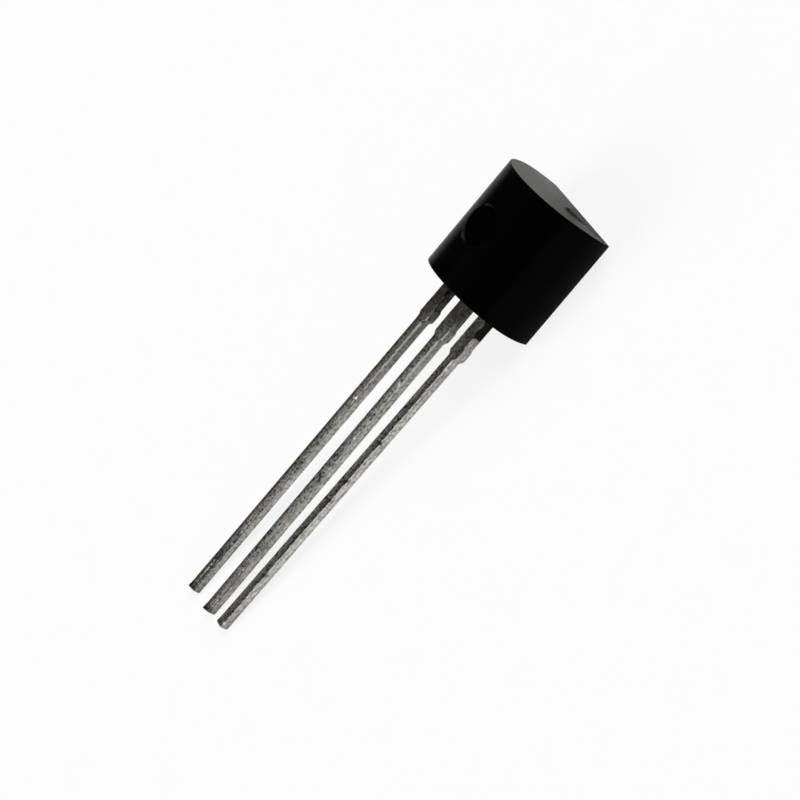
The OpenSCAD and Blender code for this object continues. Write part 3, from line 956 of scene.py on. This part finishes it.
class LeadSettings(bpy.types.PropertyGroup):
    """Sizes and colours of the three leads."""
    dam_top: length("Dam Bar Start", 1.22, "Distance from the body to the stub")
    dam_slope: length("Dam Bar Slope", 0.14, "Slope at the top of the stub")
    shoulder_end: length("Shoulder End", 1.93, "Distance from the body to the end of the shoulder")
    shoulder_slope: length("Shoulder Slope", 0.2, "Slope from the stub down to the plain lead")
    notch_radius: length("Notch Radius", 0.13, "Radius of the locking notches inside the body")
    burr: length("Burr", 0.03, "Burr that the crop left on one side of a tip")
    relief_depth: length("Relief", 0.0015, "Depth of the waves and grain of the plating")
    grain_size: length("Grain Size", 0.12, "Size of the mottles in the dulled plating")
    grain_depth: length("Grain Depth", 0.01, "Depth of the grain and streaks")
    grain_seed: bpy.props.IntProperty(name="Seed", description="Seed of the leads' relief", default=17)
    roughness: factor("Roughness", 0.36, "Roughness of the clean plating")
    colour: colour("Plating", "#b9b7b2", "Clean tin plating")
    colour_dull: colour("Dulled", "#2f2c29", "Dulled and scuffed plating")
    # Pale colour of rubbed edges and scratches, partly a painted highlight and painted glints
    colour_rubbed_and_highlight: colour("Rubbed", "#eceae6", "Plating rubbed bright on the edges")
    colour_side: colour("Sheared Side", "#cac9c4", "Plating on the sheared sides")
    colour_side_shade: colour("Side Shade", "#8e8d88", "Faint lines along the sheared sides")
    # Heat stain near the body, partly a painted shade for the body's shadow on the leads
    colour_heat_stain_and_shade: colour("Heat Stain", "#262321", "Plating browned near the body")
    colour_pale_stain_and_shade: colour("Pale Stain", "#504b44", "Thinner stain on the plating's grain")
    hue_cool: colour("Cool Hue", "#f8fdf8", "Cool tint of the tarnish")
    hue_warm: colour("Warm Hue", "#fffafa", "Warm tint of the tarnish")
    # Dark colour of nicks and scratches, and of the marks that darken the cut tips
    colour_dirt: colour("Dirt", "#1d1c1a", "Dirt in the nicks and on the cut ends")
    # Black of the resin flash, partly a painted shadow of the body on the leads
    colour_resin_and_shadow: colour("Resin Flash", "#060606", "Resin that ran out along a lead")


class ChipSettings(bpy.types.PropertyGroup):
    """Colours of the die, its attach layer and the bond wires."""
    silicon: colour("Silicon", "#7d8187", "Polished silicon")
    silicon_shade: colour("Metallisation", "#a9a69c", "Metal pads on the silicon")
    attach: colour("Die Attach", "#c9c6bf", "Silver flakes in the die attach")
    attach_shade: colour("Attach Resin", "#8f8a7d", "Resin between the flakes")
    gold: colour("Gold", "#f2c14e", "Gold bond wire")
    gold_shade: colour("Gold Shade", "#dca83a", "Shaded gold")


class StageSettings(bpy.types.PropertyGroup):
    """The camera, the lamps and the cove."""
    azimuth: angle("Azimuth", 12.489, "Camera's turn from the front towards the head")
    elevation: angle("Elevation", 42.373, "Camera's height over the floor as an angle")
    roll: angle("Roll", 54.867, "Camera's roll about its line of sight")
    distance: length("Distance", 130, "From the camera to the aim point")
    lens: bpy.props.FloatProperty(
        name="Lens", description="Focal length on the 36 mm sensor", default=167.62, unit="CAMERA")
    aim: bpy.props.FloatVectorProperty(
        name="Aim", description="Aim point, from the middle of the part's box",
        default=(0.8186 * MM, -0.7591 * MM, -0.5906 * MM), precision=5, subtype="TRANSLATION")
    lamp_level: bpy.props.FloatProperty(
        name="Lamp Level", description="Brightness of a lamp's face, where 1 is white", default=3.4, min=0)
    lamp_size: length("Lamp Size", 800, "Side of a square lamp")
    lamp_distance: length("Lamp Distance", 900, "From the part to a lamp")
    lamp_height: angle("Lamp Height", 42, "A lamp's height over the floor as an angle")
    lamp_turn: angle("Lamp Turn", 12, "How far both lamps stand round behind the part")
    room_level: factor("Room Level", 0.06, "Brightness of the dark room above the cove")
    cove_radius: length("Cove Radius", 700, "From the part to the cove's wall")
    cove_front: angle("Front Wall", 17, "Rise of the wall before the part, as an angle")
    cove_back: angle("Back Wall", 8, "Rise of the wall behind the part, as an angle")
    cove_glow: factor("Cove Glow", 0.84, "Share of plain white in the cove's look")
    cove_mirrored: factor("Mirrored Glow", 0.3, "Share of plain white in the cove's reflections")
    cove_colour: colour("Cove", "#f7f7f6", "White paint")
    cove_shade: colour("Cove Shade", "#f3f3f2", "Faint grain in the paint")


# ---- operators ----

# Steps round the cove, over its floor and up its bend
COVE_AROUND, COVE_FLOOR, COVE_BEND = 192, 29, 12
# The bend's radius as a share of the cove's, and the least height of the wall in bend radii
BEND_SHARE, WALL_LEAST = 0.06, 1.01
# The wall rises from its back angle to its front one as minus the sine of the azimuth goes from the
# first of these to the second
WALL_TURNS = (-0.2, 0.6)
# Width of the camera's sensor in millimetres, and its clipping, in shares of its distance
SENSOR, CLIP_NEAR, CLIP_FAR = 36, 0.05, 20


class STUDIO_OT_stage(bpy.types.Operator):
    """Builds the white cove, the two soft lamps, the dark room and the camera"""
    bl_idname = "studio.stage"
    bl_label = "Stage"

    def execute(self, context):
        s = context.scene.stage_settings
        low, high = (np.array(corner) for corner in CAD_BOX)
        middle = (low + high) / 2
        add_cove(s, low[2])
        for name, side in (("lamp_head", 1), ("lamp_tips", -1)):
            add_lamp(s, name, side)
        world = bpy.data.worlds.new("dark_room")
        world.use_nodes = True
        room = world.node_tree.nodes["Background"]
        room.inputs["Color"].default_value = rgba(WHITE)
        room.inputs["Strength"].default_value = s.room_level
        context.scene.world = world
        context.scene.view_settings.view_transform = "Standard"
        add_camera(s, context.scene, middle)
        return {"FINISHED"}


def add_cove(s, floor_z):
    """A flat disc that turns up by a quarter circle into a wall.

    A point is r along its azimuth and z up. The wall's height is the radius times the tangent of
    its rise, which runs smoothly from the back wall's angle to the front wall's."""
    turn = np.linspace(0, 2 * math.pi, COVE_AROUND + 1)[:-1]
    front = smoothstep(*WALL_TURNS, -np.sin(turn))
    rise = s.cove_radius * np.tan(s.cove_back + (s.cove_front - s.cove_back) * front)
    bend = BEND_SHARE * s.cove_radius
    corner = quarter(COVE_BEND)[1:]
    flat_r = np.linspace(0, 1, COVE_FLOOR + 1)[1:] ** 2 * (s.cove_radius - bend)
    r = np.concatenate([flat_r, s.cove_radius - bend + bend * np.sin(corner), [s.cove_radius]])
    z = np.concatenate([0 * flat_r, bend * (1 - np.cos(corner)), [0]])[:, None] + 0 * rise
    z[-1] = np.maximum(rise, bend * WALL_LEAST)
    points = np.dstack([r[:, None] * np.cos(turn), r[:, None] * np.sin(turn), z + floor_z])
    points = np.concatenate([points.reshape(-1, 3), [[0, 0, floor_z]]])
    numbers = np.arange(len(points) - 1).reshape(len(r), -1)
    faces = [*band(numbers[:-1], numbers[1:]).reshape(-1, 4).tolist(),
             *fan(len(points) - 1, numbers[0]).tolist()]
    mesh = bpy.data.meshes.new("cove")
    mesh.from_pydata(points, [], faces)
    mesh.polygons.foreach_set("use_smooth", np.ones(len(faces), bool))
    mesh.materials.append(white_light_table(s))
    cove = bpy.data.objects.new("cove", mesh)
    bpy.context.scene.collection.objects.link(cove)


def add_lamp(s, name, side):
    """A square soft lamp that faces the part. Its power is its brightness times pi times its area."""
    lamp = bpy.data.lights.new(name, "AREA")
    lamp.shape = "SQUARE"
    lamp.size = s.lamp_size
    lamp.energy = s.lamp_level * math.pi * s.lamp_size**2
    held = bpy.data.objects.new(name, lamp)
    across, height = math.cos(s.lamp_height), math.sin(s.lamp_height)
    toward = Vector((side * across * math.cos(s.lamp_turn), across * math.sin(s.lamp_turn), height))
    held.location = s.lamp_distance * toward
    held.rotation_euler = toward.to_track_quat("Z", "Y").to_euler()
    bpy.context.scene.collection.objects.link(held)


def add_camera(s, scene, middle):
    """The camera on its line of sight, level at first and then rolled about that line. Its place is
    the aim point plus the distance along the direction of the azimuth and elevation."""
    across = math.cos(s.elevation)
    back = Vector((math.sin(s.azimuth) * across, -math.cos(s.azimuth) * across, math.sin(s.elevation)))
    data = bpy.data.cameras.new("camera")
    data.lens = s.lens
    data.sensor_width = SENSOR
    data.clip_start, data.clip_end = CLIP_NEAR * s.distance, CLIP_FAR * s.distance
    camera = bpy.data.objects.new("camera", data)
    camera.rotation_mode = "QUATERNION"
    level = back.to_track_quat("Z", "Y")
    camera.rotation_quaternion = level @ Quaternion((0, 0, 1), -s.roll)
    camera.location = Vector(middle) + Vector(s.aim) + s.distance * back
    scene.collection.objects.link(camera)
    scene.camera = camera


class TRANSISTOR_OT_moulding(bpy.types.Operator):
    """Builds the moulded body with its rims, ejector mark and broken gate"""
    bl_idname = "transistor.moulding"
    bl_label = "Moulding"

    def execute(self, context):
        s = context.scene.moulding_settings
        moulding_shell(s).make("moulding", moulded_epoxy(s), "moulding", "body")
        return {"FINISHED"}


# The size of each lead, in millimetres, and what stamping, moulding and handling did to it, with the
# light and shade painted on it.
#
# neck, stub, root, tip: half widths on the (left, right) of the neck, of the dam bar's stub and of
#   the plain lead's upper and lower end
# edge: radius of the corners
# cut: what the crop left: extra length, radius round the tip and slant of its face
# blend: where a rolled face ends and a sheared side is full, beside the corner, in shares of a turn
# clean_side: how far a sheared side stayed free of the heat stain and its painted shade, as a share
# rolled: tones across a rolled face, from its left edge to its right one, lower towards an edge as
# painted shade
#
# The next ones come as (distance from the body, amount), and run straight between their places:
# corner: how far the corner lies off its place, in shares of a turn
# jagged: how far noise bends the corner's line, in shares of a turn
# back, side: tones along the rolled faces, which multiply those across, and along the sheared sides,
# partly the lead's own tone and partly painted light and shade
# stain, rubbed: heat stain, with a painted shade of the body near it, and corners rubbed bright,
# with a painted highlight
# lines, groove, bites: strength of the drawn lines, of the groove beside a corner and of the bites
#
# Shares of a turn start at the flat, 0.25 is the left side, 0.5 faces away and 0.75 is the right side.
# resin: first and last share of a turn and run of the resin flash, partly a painted shadow of the
# body
# marks: distance, share of a turn, slant in shares per half length, half length, half width in
#   shares, depth, and tone from dark, below 0, to bright, where a bright mark is partly a painted
#   glint
LEAD_WEAR_AND_PAINTED_LIGHT = {
    "collector_lead": {
        "neck": (0.275, 0.29), "stub": (0.286, 0.366), "root": (0.2, 0.222), "tip": (0.184, 0.21),
        "edge": 0.065, "cut": (-0.02, 0.035, 0.1), "blend": (-0.03, 0.075), "clean_side": 0,
        "corner": ((0, 0.02), (1.3, 0.03), (1.85, 0.03), (2, 0.01), (4.5, 0.006), (6, 0)),
        "jagged": ((2, 0.004), (4.5, 0.01), (6, 0.022)), "rolled": (0.38, 0.5, 0.95, 1.3, 1.2, 0.93),
        "back": ((1.3, 0.9), (1.9, 1.1), (3, 1.6), (6.5, 1.35), (9, 1.1), (11, 1.15), (13, 0.9),
            (14.5, 0.85)),
        "side": ((3, 1), (10, 1.06), (12.8, 0.88), (14.5, 0.7)),
        "stain": ((0.9, 1), (1.3, 0.88), (2, 0.6), (3.5, 0.47), (4.5, 0.25), (6, 0)),
        "rubbed": ((1.6, 0), (1.66, 0.3), (1.8, 0.3), (1.84, 0), (1.97, 0), (2.01, 1.6), (2.6, 1.4),
            (4.2, 1), (5.5, 0.3), (9, 0.05)),
        "lines": ((2, 0.1), (5, 0.12), (13, 0.15), (14.5, 0.2)), "groove": ((2, 0),),
        "bites": ((2, 0), (2.6, 0.3), (3.7, 0.5), (4, 0.1), (6, 0.15), (14.5, 0.15)),
        "resin": (0.585, 0.655, 0.77),
        "marks": [
            (1.55, 0.59, 0, 0.3, 0.045, 0, 0.12), (1.91, 0.6, 0, 0.06, 0.09, 0, -0.45),
            (5.62, 0.6, -0.02, 0.05, 0.045, 0.014, 1.8), (14.85, 0.48, 0, 0.14, 0.13, 0, -0.5),
            (7.1, 0.58, 0, 0.12, 0.02, 0.01, -0.5), (11.4, 0.53, 0.02, 0.2, 0.02, 0.01, -0.5),
            (13.2, 0.5, 0.01, 0.28, 0.06, 0.015, -0.8), (14.1, 0.568, 0, 0.6, 0.04, 0.02, -1.6),
            (14, 0.5, 0, 0.45, 0.014, 0, 0.2)]},
    "base_lead": {
        "neck": (0.312, 0.305), "stub": (0.32, 0.36), "root": (0.194, 0.23), "tip": (0.19, 0.216),
        "edge": 0.06, "cut": (0.042, 0.05, 0.25), "blend": (-0.03, 0.06), "clean_side": 0,
        "corner": ((0, 0.015), (1.85, 0.015), (2, 0)), "jagged": ((2, 0.004), (4.5, 0.012), (6, 0.022)),
        "rolled": (0.46, 0.62, 0.9, 1.35, 1.25, 0.93),
        "back": ((1.3, 1.2), (1.9, 1.4), (3, 1.5), (9, 1.38), (11, 1.3), (14.5, 1)),
        "side": ((2, 1.15), (3, 1), (6.5, 1.25), (9, 1.3), (11, 1), (12.8, 0.88), (14.3, 0.72),
            (14.8, 0.55)),
        "stain": ((0.9, 0.93), (1.3, 0.62), (2.2, 0.35), (3, 0.18), (4, 0.05), (5, 0)),
        "rubbed": ((1, 0), (1.3, 0.6), (1.6, 1), (1.78, 1), (1.83, 0), (1.92, 0), (1.96, 1.8),
            (2.6, 1.7), (4.6, 0.9), (5.2, 0.6), (9, 0.3)),
        "lines": ((2, 0.15), (4.4, 0.15), (4.8, 0.5), (7.4, 0.45), (7.9, 0.1), (14.5, 0.15)),
        "groove": ((4.3, 0), (4.8, 0.6), (7.4, 0.55), (9, 0.3), (12, 0.3), (12.6, 0)),
        "bites": ((2, 0.1), (4.4, 0.1), (4.8, 0.4), (7.4, 0.3), (8, 0)), "resin": (0.62, 0.67, 0.3),
        "marks": [
            (0.66, 0.68, 0, 0.035, 0.06, 0, -0.6), (14.86, 0.49, 0, 0.17, 0.17, 0, -1),
            (1.88, 0.6, 0, 0.05, 0.09, 0, -0.45), (4.03, 0.57, 0.045, 0.1, 0.03, 0.014, 1.8),
            (6.55, 0.61, 0, 0.04, 0.04, 0.01, 1.4), (8.45, 0.555, 0.09, 0.16, 0.06, 0.035, -1.6),
            (11.6, 0.74, 0, 0.1, 0.03, 0.01, -0.5), (5.2, 0.56, 0, 0.5, 0.01, 0.006, -0.5)]},
    "emitter_lead": {
        "neck": (0.312, 0.3), "stub": (0.31, 0.36), "root": (0.172, 0.214), "tip": (0.19, 0.182),
        "edge": 0.04, "cut": (0.05, 0.09, 0), "blend": (-0.02, 0.02), "clean_side": 0.85,
        "corner": ((0, 0.015), (1.85, 0.015), (2, 0)), "jagged": ((0.5, 0.015), (2, 0.018)),
        "rolled": (0.85, 0.72, 0.6, 0.5, 0.38, 0.36),
        "back": ((1.3, 1.15), (1.8, 1.2), (3, 1.35), (6, 1.2), (12, 1.05), (14.5, 0.95)),
        "side": ((1.2, 0.86), (1.9, 0.95), (3, 1), (4.5, 1.2), (9, 1.33), (13, 1.28), (14.2, 1.05)),
        "stain": ((0.9, 0.5), (1.3, 0.32), (2.2, 0.25), (3, 0.12), (5, 0)),
        "rubbed": ((0.88, 0), (0.95, 0.8), (1.85, 0.5), (2, 1), (2.5, 0.8), (12.8, 0.75),
            (13.6, 0.35), (14.7, 0.3)),
        "lines": ((2, 0.15),), "groove": ((1.9, 0), (2.1, 0.5), (14.5, 0.5)),
        "bites": ((1.8, 0), (2.4, 0.2), (6.4, 0.5), (6.8, 0.6), (7, 1.2), (9, 1.2), (9.4, 0.5),
            (14.5, 0.4)),
        "resin": (0.59, 0.85, 0.87),
        "marks": [
            (0.45, 0.56, 0, 0.17, 0.03, 0, 0.3), (2.15, 0.625, 0, 0.17, 0.03, 0, 1.8),
            (2.36, 0.665, 0, 0.045, 0.06, 0.012, 1.6), (5.86, 0.6, 0.02, 0.08, 0.1, 0.04, -1.5),
            (6.8, 0.69, 0, 0.05, 0.03, 0.01, -1), (7.68, 0.61, 0, 0.07, 0.075, 0.03, -1.5),
            (8.6, 0.6, 0.02, 0.07, 0.09, 0.04, -1.6), (12.24, 0.61, 0, 0.07, 0.075, 0.03, -1.4),
            (14.58, 0.64, 0, 0.05, 0.055, 0.012, 1.8)]},
}


class TRANSISTOR_OT_leads(bpy.types.Operator):
    """Builds the three tinned leads with their shoulders, nicks, resin flash and painted light and shade"""
    bl_idname = "transistor.leads"
    bl_label = "Leads"

    def execute(self, context):
        s = context.scene.lead_settings
        tin = tinned_copper(s)
        for node, wear in LEAD_WEAR_AND_PAINTED_LIGHT.items():
            lead_shell(lead_facts(node), s, wear).make(f"tinned_{node}", tin, "lead", node)
        return {"FINISHED"}


class TRANSISTOR_OT_chip(bpy.types.Operator):
    """Gives the die, its attach layer and the bond wires their finishes"""
    bl_idname = "transistor.chip"
    bl_label = "Chip"

    def execute(self, context):
        s = context.scene.chip_settings
        # Gold is warm and mirrors softly, polished silicon is a cool, sharp mirror, and silver
        # flakes in epoxy are a dull, grainy grey
        gold = inner_finish("gold_wire", s.gold, s.gold_shade, roughness=0.2, cell=0.03)
        finishes = {
            "die": inner_finish(
                "polished_silicon", s.silicon, s.silicon_shade, roughness=0.12, cell=0.08),
            "die_attach": inner_finish(
                "silver_filled_epoxy", s.attach, s.attach_shade, roughness=0.45, cell=0.02),
            "base_wire": gold,
            "emitter_wire": gold,
        }
        for node, material in finishes.items():
            mesh = frame["nodes"][node].data
            mesh.materials.clear()
            mesh.materials.append(material)
        return {"FINISHED"}


class TRANSISTOR_PT_panel(bpy.types.Panel):
    """Lists the settings and the operators"""
    bl_idname = "TRANSISTOR_PT_panel"
    bl_label = "Transistor"
    bl_space_type = "VIEW_3D"
    bl_region_type = "UI"
    bl_category = "Transistor"

    def draw(self, context):
        for operator, group, _ in STEPS:
            box = self.layout.box()
            box.operator(operator.bl_idname)
            settings = getattr(context.scene, group)
            for name in settings.__annotations__:
                box.prop(settings, name)


# Each step's operator, the name of its settings in the scene, and their class
STEPS = (
    (STUDIO_OT_stage, "stage_settings", StageSettings),
    (TRANSISTOR_OT_moulding, "moulding_settings", MouldingSettings),
    (TRANSISTOR_OT_leads, "lead_settings", LeadSettings),
    (TRANSISTOR_OT_chip, "chip_settings", ChipSettings),
)
CLASSES = (*(step[2] for step in STEPS), *(step[0] for step in STEPS), TRANSISTOR_PT_panel)


def register():
    """Registers the classes and gives the scene a group of settings for each step."""
    for each in CLASSES:
        bpy.utils.register_class(each)
    for _, name, group in STEPS:
        setattr(bpy.types.Scene, name, bpy.props.PointerProperty(type=group))


def unregister():
    """Takes the settings and the classes away again."""
    for _, name, _ in STEPS:
        delattr(bpy.types.Scene, name)
    for each in reversed(CLASSES):
        bpy.utils.unregister_class(each)


def main():
    """Registers the add-on and builds everything in order."""
    register()
    bpy.ops.studio.stage()
    bpy.ops.transistor.moulding()
    bpy.ops.transistor.leads()
    bpy.ops.transistor.chip()


if __name__ == "__main__":
    main()
